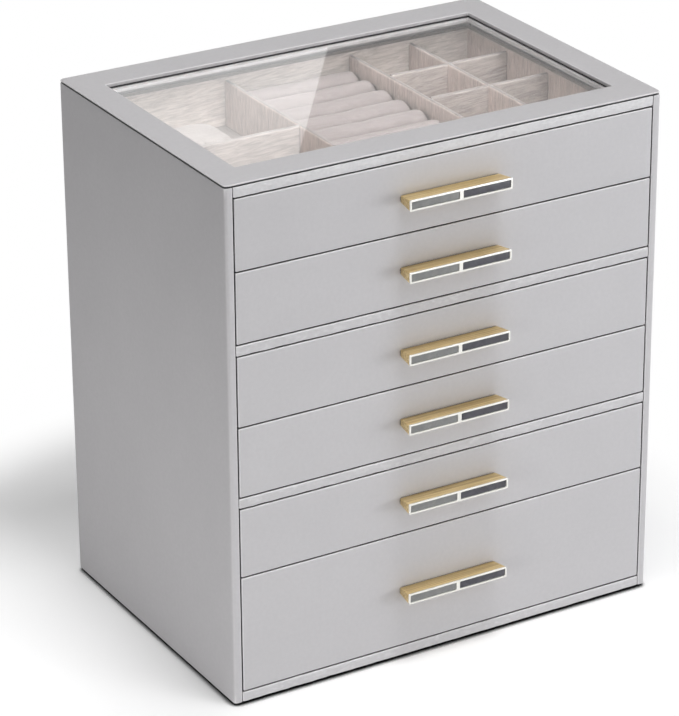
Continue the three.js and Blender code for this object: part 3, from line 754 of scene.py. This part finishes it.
def build_top_board(leather):
    """Wrapped board round the window, with the pane's rebate cut into its inner edge."""
    low, high = box_mm("top_board")
    opening = np.array(HALF_OPENING)
    inner, outer = (-opening, opening), (low[:2], high[:2])
    r, top, edge = BOARD_RADIUS, TOP_EDGE_RADIUS, LEDGE_RADIUS
    ledge = high[2] - REBATE_DEPTH + LEDGE_LIFT
    rings = []

    def ring(share, grow, corner, z):
        rings.append(band_ring(inner, outer, share, grow, corner, z, runs=(120, 40)))

    for c, s in quarter(4):
        ring(1, -r * (1 - s), r, low[2] + r * (1 - c))
    for c, s in quarter(4):
        ring(1, -top * (1 - c), r, high[2] - top * (1 - s))
    ring(0, GLASS_LAP + LEDGE_NICK, OPENING_CORNER, high[2])
    ring(0, GLASS_LAP, OPENING_CORNER, high[2] - LEDGE_NICK)
    ring(0, GLASS_LAP, OPENING_CORNER, ledge)
    for c, s in quarter(3):
        ring(0, edge * (1 - s), edge, ledge - edge * (1 - c))
    for c, s in quarter(3):
        ring(0, edge * (1 - c), edge, low[2] + edge * (1 - s))
    build = Build()
    build.loop(rings)
    build.ripple(TOP_WAVE, RAIL_PITCH, seed=61.3, still=near_pane(TOP_MARGIN))
    build.add_to("top_board_wrap", [leather], CASE, "leatherette", ["top_board"])


def build_cover(leather):
    """Thin frame over the pane: undercut and round outer edge, and inner lip close over the glass."""
    low, high = box_mm("window_frame")
    opening = np.array(HALF_OPENING)
    inner, outer = (-opening, opening), (low[:2], high[:2])
    r, lip, edge = COVER_RADIUS, LIP_RADIUS, COVER_EDGE_RADIUS
    under, lip_z = low[2] + UNDERCUT_HEIGHT, low[2] - LIP_DROP
    rings = []

    def ring(share, grow, z):
        corner = COVER_CORNER_IN + (COVER_CORNER_RADIUS - COVER_CORNER_IN) * share
        rings.append(band_ring(inner, outer, share, grow, corner, z, runs=(56, 40)))

    ring(1, -UNDERCUT, low[2])
    ring(1, -UNDERCUT, under)
    for c, s in quarter(3):
        ring(1, -lip * (1 - s), under + lip * (1 - c))
    for c, s in quarter(4):
        ring(1, -edge * (1 - c), high[2] - edge * (1 - s))
    for k in (3, 2, 1):
        ring(k / 4, 0, high[2])
    for c, s in quarter(4):
        ring(0, r * (1 - s), high[2] - r * (1 - c))
    for c, s in quarter(4):
        ring(0, lip * (1 - c), lip_z + lip * (1 - s))
    ring(0, GLASS_LAP - LIP_CLEARANCE, lip_z)
    ring(0, GLASS_LAP - LIP_CLEARANCE + LIP_LEAN, low[2])
    build = Build()
    build.loop(rings)
    build.ripple(COVER_WAVE, COVER_PITCH, seed=4.2, still=near_pane(COVER_MARGIN))
    build.add_to("window_frame_wrap", [leather], CASE, "leatherette", ["window_frame"])


# Drawers and handles
def tray_rings(low, high):
    """Rings of a tray from its inner floor's edge, over the rim and down to its underside."""
    centre = (low[:2] + high[:2]) / 2
    outside = (high[:2] - low[:2]) / 2
    inside = outside - TRAY_WALL
    rings = []

    def ring(half, grow, corner, z):
        rings.append(rectangle_ring(centre, half[0] + grow, half[1] + grow, corner, z))

    floor_z = low[2] + TRAY_FLOOR
    for c, s in quarter(3):
        ring(inside, -TRAY_FOOT * (1 - s), TRAY_CORNER_IN, floor_z + TRAY_FOOT * (1 - c))
    for c, s in quarter(5):
        out = TRAY_RIM * (1 - c)
        ring(inside, out, TRAY_CORNER_IN + out * TRAY_CORNER_GROWTH, high[2] - TRAY_RIM * (1 - s))
    for c, s in quarter(5):
        ring(outside, -TRAY_RIM * (1 - s), TRAY_CORNER_OUT, high[2] - TRAY_RIM * (1 - c))
    ring(outside, 0, TRAY_CORNER_OUT, low[2] + TRAY_BASE_CHAMFER)
    ring(outside, -TRAY_BASE_CHAMFER, TRAY_CORNER_OUT, low[2])
    return rings


def soft_wall(build, start, end, low_z, high_z, wave):
    """Velvet-covered partition from one point to the other, its round top uneven by up to wave."""
    (x0, y0), (x1, y1) = start, end
    length = math.hypot(x1 - x0, y1 - y0)
    across = ((y1 - y0) / length, (x0 - x1) / length)
    half = DIVIDER_THICKNESS / 2
    profile = [(-half, low_z), (half, low_z)]
    for k in range(13):
        a = math.radians(180 * k / 12)
        profile.append((half * math.cos(a), high_z - half + half * math.sin(a)))
    steps = max(2, int(length / WALL_STEP))
    rings = []
    for i in range(steps + 1):
        t = i / steps
        cx, cy = x0 + (x1 - x0) * t, y0 + (y1 - y0) * t
        dip = wave * noise.noise(Vector((cx / WALL_PITCH, cy / WALL_PITCH, high_z)))
        ring = []
        for s, z in profile:
            ring.append((cx + across[0] * s, cy + across[1] * s, z + (dip if z > low_z else 0)))
        rings.append(ring)
    build.loft(rings)


def build_drawer(number, leather, velvets, metals, inlays):
    """Drawer; the name of its body also starts the names of its pieces."""
    drawer = f"drawer_{number}"
    steps = (4, 3.5, 4)
    wrapped(drawer + "_front", drawer, leather, FRONT_RADIUS, steps, BOARD_WAVE, seed=31.0 * number)
    build_tray(number, drawer, velvets)
    build_handle(drawer, metals)
    for word, material, slot in inlays:
        build_inlay(drawer, word, material, slot)
    if number == WINDOW_DRAWER:
        build_inserts(drawer, velvets)


def build_tray(number, drawer, velvets):
    low, high = box_mm(drawer + "_tray")
    build = Build()
    build.loft(tray_rings(low, high))
    inner_x = (high[0] - low[0]) / 2 - TRAY_WALL
    y_from, y_to = low[1] + TRAY_WALL - PARTITION_LAP, high[1] - TRAY_WALL + PARTITION_LAP
    foot, top = low[2] + TRAY_FLOOR - PARTITION_SUNK, high[2] - DIVIDER_DROP
    for share in PARTITIONS.get(number, ()):
        x = inner_x * 2 * (share - 0.5)
        soft_wall(build, (x, y_from), (x, y_to), foot, top, PARTITION_WAVE)
    build.sort_by_facing()
    # Copies of one velvet for faces looking along Y, along X and level ones, paler or darker as painted
    # light and shade
    faces = [velvets["facing_y"], velvets["facing_x"], velvets["level"]]
    build.add_to(drawer + "_lining", faces, drawer, "velvet", [drawer + "_tray"])


def plate_ring(x, z, half_x, half_z, radius, y):
    """Points round an upright plate that faces -Y, anticlockwise seen from the front."""
    return [(px, y, pz) for px, pz, _ in rectangle_ring((x, z), half_x, half_z, radius, 0)]


def build_handle(drawer, metals):
    """Brushed bar, wider at its polished face than at its seat, with pockets for the inlays."""
    low, high = box_mm(drawer + "_handle")
    z = (low[2] + high[2]) / 2
    half_x, half_z = (high[0] - low[0]) / 2, (high[2] - low[2]) / 2
    face_y = low[1]
    seat_y = face_y + HANDLE_DEPTH
    rings = []

    def ring(inset, y):
        rings.append(plate_ring(0, z, half_x - inset, half_z - inset, HANDLE_CORNER, y))

    ring(HANDLE_TAPER + HANDLE_SEAT_CHAMFER, seat_y)
    ring(HANDLE_TAPER, seat_y - HANDLE_SEAT_CHAMFER)
    ring(HANDLE_TAPER * POLISHED_DEPTH / HANDLE_DEPTH, face_y + POLISHED_DEPTH)
    for c, s in quarter(3):
        ring(HANDLE_CHAMFER * (1 - c), face_y + HANDLE_CHAMFER * (1 - s))
    build = Build()
    build.loft(rings, last_cap=False, ring_slots=[BRUSHED] * 2 + [POLISHED] * 5)
    count = len(rings[-1])
    loops = [[len(build.points) - count + j for j in range(count)]]
    pocket_x = ((half_x - HANDLE_RIM) * 2 - HANDLE_MULLION) / 4 - INLAY_TRIM
    pocket_z = half_z - HANDLE_RIM - INLAY_TRIM
    for side in (-1, 1):
        x = side * (HANDLE_MULLION / 2 + pocket_x + INLAY_TRIM)
        loops.append(add_pocket(build, x, z, pocket_x, pocket_z, face_y))
    fill_face(build, loops)
    add_screws(build, z, seat_y)
    faces = [metals["brushed"], metals["polished"]]
    build.add_to(drawer + "_pull", faces, drawer, "gold_metal", [drawer + "_handle"])


def add_pocket(build, x, z, half_x, half_z, face_y):
    """Pocket in a handle's face, with its edge broken; gives the points round its mouth."""
    wide_x, wide_z = half_x + POCKET_BREAK, half_z + POCKET_BREAK
    rings = [
        plate_ring(x, z, wide_x, wide_z, POCKET_MOUTH_CORNER, face_y),
        plate_ring(x, z, half_x, half_z, POCKET_CORNER, face_y + POCKET_BREAK_DEPTH),
        plate_ring(x, z, half_x, half_z, POCKET_CORNER, face_y + POCKET_DEPTH),
    ]
    start, count = len(build.points), len(rings[0])
    for ring in rings:
        build.points.extend(ring)
    for i in (0, 1):
        build.join(start + i * count, start + (i + 1) * count, count, POLISHED)
    build.faces.append(tuple(start + 2 * count + j for j in range(count)))
    build.slots.append(POLISHED)
    return [start + j for j in range(count)]


def fill_face(build, loops):
    """Flat face between an outer loop and the loops of its holes, all at one place along Y.

    The triangulation fills the holes too, and its triangles there are left out.
    """
    index = [i for loop in loops for i in loop]
    flat = [Vector((build.points[i][0], build.points[i][2])) for i in index]
    rows, start = [], 0
    for loop in loops:
        rows.append([start + k for k in range(len(loop))])
        start += len(loop)
    edges = [(row[k], row[(k + 1) % len(row)]) for row in rows for k in range(len(row))]
    result = delaunay_2d_cdt(flat, edges, [], 0, 1e-6)
    points, faces, kept = result[0], result[2], result[3]
    holes = [[flat[i] for i in row] for row in rows[1:]]
    boxes = []
    for hole in holes:
        across, up = [p.x for p in hole], [p.y for p in hole]
        boxes.append((min(across), max(across), min(up), max(up)))
    outer = [flat[i] for i in rows[0]]
    low, high = min(p.x for p in outer), max(p.x for p in outer)
    for face in faces:
        middle = sum((points[i] for i in face), Vector((0, 0))) / len(face)
        if any(a < middle.x < b and c < middle.y < d for a, b, c, d in boxes):
            continue
        if not low < middle.x < high:
            continue
        build.faces.append(tuple(index[kept[i][0]] for i in face))
        build.slots.append(POLISHED)


def add_screws(build, z, seat_y):
    """Heads and shanks of the two screws, inside the drawer front."""
    back_y = seat_y + SEAM + FRONT_THICKNESS
    under_y = back_y - SCREW_HEAD_THICKNESS
    sizes = (
        (SCREW_HEAD_RADIUS - SCREW_HEAD_SLOPE, back_y),
        (SCREW_HEAD_RADIUS, back_y - SCREW_HEAD_ROUND),
        (SCREW_HEAD_RADIUS, under_y),
        (SCREW_RADIUS, under_y),
        (SCREW_RADIUS, seat_y - SCREW_LAP),
    )
    angles = [math.radians(360 * k / 16) for k in range(16)]
    for side in (-1, 1):
        x = side * SCREW_SPACING / 2
        rings = []
        for radius, y in sizes:
            rings.append([(x + radius * math.cos(a), y, z + radius * math.sin(a)) for a in angles])
        build.loft(rings)


def build_inlay(drawer, word, material, slot):
    node = f"{drawer}_inlay_{word}"
    low, high = box_mm(node)
    x, _, z = (low + high) / 2
    half_x, _, half_z = (high - low) / 2 - INLAY_TRIM
    rings = [plate_ring(x, z, half_x, half_z, INLAY_CORNER, high[1])]
    for c, s in quarter(3):
        inset, y = INLAY_EDGE * (1 - c), low[1] + INLAY_EDGE * (1 - s)
        rings.append(plate_ring(x, z, half_x - inset, half_z - inset, INLAY_CORNER, y))
    build = Build()
    build.loft(rings)
    build.add_to(node + "_gloss", [material], drawer, slot, [node])


# What the top drawer holds
def build_inserts(drawer, velvets):
    for word in ("left_divider", "right_divider", "grid_spine"):
        divider_piece(drawer, word, 1, velvets)
    for word in ("cross_divider", "grid_cross_1", "grid_cross_2", "grid_cross_3"):
        divider_piece(drawer, word, 0, velvets)
    ring_rolls(drawer, velvets["roll"])
    cushion(drawer, velvets["pillow"])


def divider_piece(drawer, word, axis, velvets):
    """Divider that runs along an axis: 0 for X and 1 for Y."""
    node = f"{drawer}_{word}"
    low, high = box_mm(node)
    middle = (low + high) / 2
    start, end = middle[:2].copy(), middle[:2].copy()
    start[axis], end[axis] = low[axis], high[axis]
    build = Build()
    soft_wall(build, start, end, low[2], high[2], DIVIDER_WAVE)
    build.sort_by_facing()
    # Copies of one velvet for the divider's faces and its round top, paler or darker as painted light and
    # shade
    faces = [velvets["cross"], velvets["facing_x"], velvets["rim"]]
    build.add_to(node + "_velvet", faces, drawer, "velvet", [node])


def puffed(build, voxel, cap, firm_z):
    """Points and faces of a padding whose cover is blown up as cloth, with no point moved further than cap.

    Points below firm_z stay where they are, because the piece rests there.
    """
    mesh = bpy.data.meshes.new("cover")
    mesh.from_pydata([tuple(c * CLOTH_UNIT for c in p) for p in build.points], [], build.faces)
    cover = bpy.data.objects.new("cover", mesh)
    scene = bpy.context.scene
    scene.collection.objects.link(cover)
    even = cover.modifiers.new("even", "REMESH")
    even.mode = "VOXEL"
    even.voxel_size = voxel * CLOTH_UNIT
    graph = bpy.context.evaluated_depsgraph_get()
    cover.data = bpy.data.meshes.new_from_object(cover.evaluated_get(graph))
    cover.modifiers.clear()
    rest = coordinates(cover.data)
    held = cover.vertex_groups.new(name="held")
    held.add([k for k, z in enumerate(rest[:, 2]) if z < firm_z * CLOTH_UNIT], 1.0, "REPLACE")
    cloth = cover.modifiers.new("cloth", "CLOTH")
    cloth.settings.vertex_group_mass = "held"
    cloth.settings.use_pressure = True
    cloth.settings.uniform_pressure_force = PRESSURE
    cloth.settings.effector_weights.gravity = 0
    cloth.settings.shrink_min = -CLOTH_SLACK
    for step in range(1, CLOTH_STEPS + 1):
        scene.frame_set(step)
    graph = bpy.context.evaluated_depsgraph_get()
    moved = coordinates(cover.evaluated_get(graph).data) - rest
    far = np.linalg.norm(moved, axis=1, keepdims=True) / CLOTH_UNIT
    moved *= np.minimum(1.0, cap / np.maximum(far, 1e-9))
    faces = [tuple(face.vertices) for face in cover.data.polygons]
    scene.frame_set(1)
    leftover = (cover.data, mesh)
    bpy.data.objects.remove(cover)
    for data in leftover:
        bpy.data.meshes.remove(data)
    return (rest + moved) / CLOTH_UNIT, faces


def coordinates(mesh):
    flat = np.empty(len(mesh.vertices) * 3)
    mesh.vertices.foreach_get("co", flat)
    return flat.reshape(-1, 3)


def settled(build, voxel, cap, firm_z):
    return puffed(build, voxel, cap, firm_z)


def padding(name, points, faces, material, body, node):
    piece = add_mesh(name, points, faces, [material], body, "velvet", [node])
    rounder = piece.modifiers.new("rounder", "SUBSURF")
    rounder.levels = 1
    rounder.render_levels = 1


def roll_form(length, width, height):
    """Foam roll about its own place: full crown, soft flanks and domed ends, slacker than its box.

    A station along it is its place, how far it has grown from the end's size to the full one, and its scale.
    """
    stations = [(out, 0.0, share) for share, out in ROLL_DOME]
    for c, s in quarter(6)[1:]:
        stations.append((ROLL_END_START + ROLL_END_REACH * (1 - c), s, 1.0))
    half_length = length / 2 - ROLL_SLACK
    ends = [(-half_length + out, full, share) for out, full, share in stations]
    starts = [(-x, full, share) for x, full, share in reversed(ends)]
    x_from, x_to = ends[-1][0], starts[0][0]
    inner = [(x_from + (x_to - x_from) * k / 24, 1.0, 1.0) for k in range(1, 24)]
    middle, foot, foot_z = ROLL_FOOT_MIDDLE, ROLL_FOOT, ROLL_FOOT_TOP
    rings = []
    for x, full, share in ends + inner + starts:
        half = (width / 2 - ROLL_SLACK) * (ROLL_END_WIDTH + (1 - ROLL_END_WIDTH) * full)
        top = (height - ROLL_SLACK) * (ROLL_END_HEIGHT + (1 - ROLL_END_HEIGHT) * full)
        profile = [(-half + foot, 0.0), (half - foot, 0.0), (half - middle, middle), (half, foot_z)]
        for k in range(17):
            a = math.radians(180 * k / 16)
            profile.append((half * math.cos(a), top - half + half * math.sin(a)))
        profile.extend([(-half, foot_z), (-half + middle, middle)])
        middle_z = top / 2
        rings.append([(x, y * share, middle_z + (z - middle_z) * share) for y, z in profile])
    build = Build()
    build.loft(rings)
    return build


def ring_rolls(drawer, material):
    """Nine foam rolls of one form, each with its own uneven lie above its foot."""
    nodes = [f"{drawer}_ring_roll_{k}" for k in range(1, 10)]
    low, high = box_mm(nodes[0])
    points, faces = settled(roll_form(*(high - low)), ROLL_VOXEL, ROLL_CAP, ROLL_FIRM)
    for number, node in enumerate(nodes):
        low, high = box_mm(node)
        place = np.array([(low[0] + high[0]) / 2, (low[1] + high[1]) / 2, low[2]])
        seed = np.array([number * ROLL_LIE_SEED, 0.0, 0.0])
        lie = []
        for point in points:
            push = noise.noise_vector(Vector(point / ROLL_LIE_PITCH + seed)) * ROLL_LIE
            free = min(1.0, max(0.0, point[2] - ROLL_LIE_FROM) / ROLL_LIE_REACH)
            lie.append(point + np.array(push) * free)
        padding(node + "_foam", np.array(lie) + place, faces, material, drawer, node)


def cushion(drawer, material):
    """Small bracelet pillow: crowned, its sides pulled in between its corners."""
    node = f"{drawer}_bracelet_cushion"
    low, high = box_mm(node)
    middle = (low + high) / 2
    half = (high - low) / 2 - CUSHION_SLACK
    corner, crown = CUSHION_CORNERS, CUSHION_CROWN
    rings = []
    for i in range(29):
        up = -math.cos(math.pi * i / 28)
        full = (1 - abs(up) ** crown) ** (1 / crown) if abs(up) < 1 else 0.0
        share = CUSHION_TIP + (1 - CUSHION_TIP) * full
        ring = []
        for j in range(56):
            a = math.radians(360 * j / 56)
            c, s = math.cos(a), math.sin(a)
            reach = (abs(c) ** corner + abs(s) ** corner) ** (-1 / corner)
            out = share * reach * (1 - CUSHION_PULL * math.cos(2 * a) ** 2 * full)
            ring.append((half[0] * out * c, half[1] * out * s, half[2] * (1 + up)))
        rings.append(ring)
    build = Build()
    build.loft(rings)
    points, faces = settled(build, CUSHION_VOXEL, CUSHION_CAP, CUSHION_FIRM)
    place = np.array([middle[0], middle[1], low[2]])
    padding(node + "_pillow", points + place, faces, material, drawer, node)


# Floor, world and lights
def make_floor():
    """White ground, lit by the lamps and, near the box, by a painted glow, and darkened by a painted shadow
    where the box's base stands close above it; further out it turns into the white sweep.
    """
    r = FLOOR_REACH
    mesh = bpy.data.meshes.new("floor")
    mesh.from_pydata([(-r, -r, 0), (r, -r, 0), (r, r, 0), (-r, r, 0)], [], [(0, 1, 2, 3)])
    floor = bpy.data.objects.new("floor", mesh)
    bpy.context.scene.collection.objects.link(floor)
    floor.location.z = -FLOOR_DROP

    n = Nodes(bpy.data.materials.new("floor_white"))
    place = n.add("ShaderNodeTexCoord").outputs["Object"]
    # Painted shadow: near black where the box's base stands close above the floor
    painted_base_shadow = n.seam(0.0048, dark=0.46, clear=0.84)
    # Painted light: a glow for the camera, strongest round a spot left of the box and in front of it, which
    # lightens the box's shadow there
    left = n.distance(place, LIGHT_SPOT, LIGHT_SPOT_INNER, LIGHT_SPOT_OUTER, GLOW_HIGH, GLOW_LOW)
    ahead = n.add("ShaderNodeSeparateXYZ", {"Vector": place}).outputs["Y"]
    front = n.remap(ahead, -FRONT_START, -FRONT_END, GLOW_LOW, GLOW_FRONT)
    glow = n.mix(painted_base_shadow, n.math("MAXIMUM", left, front), rgba(0, 0, 0))
    matt = n.diffuse(n.mix(painted_base_shadow, rgba(1, 1, 1), rgba(0.005, 0.005, 0.005)))
    near = n.add("ShaderNodeAddShader", {0: matt, 1: n.emission(glow)}).outputs[0]
    away = n.distance(place, SWEEP_CENTRE, SWEEP_START, SWEEP_END, 0.0, 1.0)
    seen = n.either(away, near, n.emission(rgba(1, 1, 1)))
    plain = n.diffuse(rgba(0.86, 0.86, 0.86))
    mesh.materials.append(n.finish(n.either(n.ray("Is Camera Ray"), plain, seen)))


def make_world():
    """White for the eye, a soft fill that is dimmer on the left, and for gloss a light panel.

    The panel's edge crosses the window pane, and the light down through the pane is brighter from the front.
    """
    world = bpy.data.worlds.new("studio")
    bpy.context.scene.world = world
    n = Nodes(world, "ShaderNodeOutputWorld")
    place = n.add("ShaderNodeTexCoord").outputs["Generated"]
    panel = n.background(n.along(place, PANEL_SIDE, PANEL_SIDE_SPAN, PANEL_OFF, PANEL_ON), PANEL_COLOUR)
    gloss = n.either(n.along(place, PANEL_WAY, PANEL_SPAN, 0.0, 1.0), n.background(GLOSS), panel)
    fill = n.background(n.along(place, (1, 0, 0), (-1.0, 1.0), FILL_LEFT, FILL_RIGHT))
    inside = n.background(n.along(place, INSIDE_WAY, INSIDE_SPAN, INSIDE_BACK, INSIDE_FRONT))
    lit = n.either(n.ray("Is Glossy Ray"), fill, gloss)
    through = n.either(n.ray("Is Transmission Ray"), lit, inside)
    n.finish(n.either(n.ray("Is Camera Ray"), through, n.background(1.0)))


def area_light(name, place, target, size, power, spread, colour):
    data = bpy.data.lights.new(name, "AREA")
    data.color = colour
    data.shape = "RECTANGLE"
    data.size, data.size_y = size
    data.energy = power
    data.spread = math.radians(spread)
    light = bpy.data.objects.new(name, data)
    light.location = place
    way = Vector(target) - Vector(place)
    light.rotation_euler = way.to_track_quat("-Z", "Y").to_euler()
    light.visible_camera = False
    bpy.context.scene.collection.objects.link(light)


# Without a seed of its own, noise_vector draws another offset in each run
noise.seed_set(NOISE_SEED)
make_camera()
# The rail and top-rail copies of the leatherette are paler: painted light for the light that the narrow
# rounded rails catch
leathers = {
    "plain": leatherette_material("leatherette", (0.550, 0.538, 0.550), (0.570, 0.557, 0.569)),
    "rail": leatherette_material("leatherette_rail_painted_light", (0.572, 0.56, 0.572), (0.60, 0.588, 0.60), 0.35),
    "top_rail": leatherette_material("leatherette_top_rail_painted_light", (0.66, 0.65, 0.662), (0.70, 0.69, 0.70), 0.5),
}
velvets = {}
for word, turn, dark, pale, *seam in VELVETS:
    velvets[word] = velvet_material("velvet_" + word, turn, dark, pale, *seam)
metals = {"brushed": brushed_gold_material(), "polished": polished_gold_material()}
inlays = (
    ("left", inlay_material("pale_inlay", (0.185, 0.187, 0.186), (0.235, 0.236, 0.228)), "pale_inlay"),
    ("right", inlay_material("dark_inlay", (0.046, 0.045, 0.056), (0.074, 0.072, 0.087)), "dark_inlay"),
)
build_case(leathers, velvets["level"], felt_material(), glass_material())
for number in DRAWERS:
    build_drawer(number, leathers["plain"], velvets, metals, inlays)
make_floor()
make_world()
for light in LIGHTS:
    area_light(*light)

scene = bpy.context.scene
scene.view_settings.view_transform = "Standard"
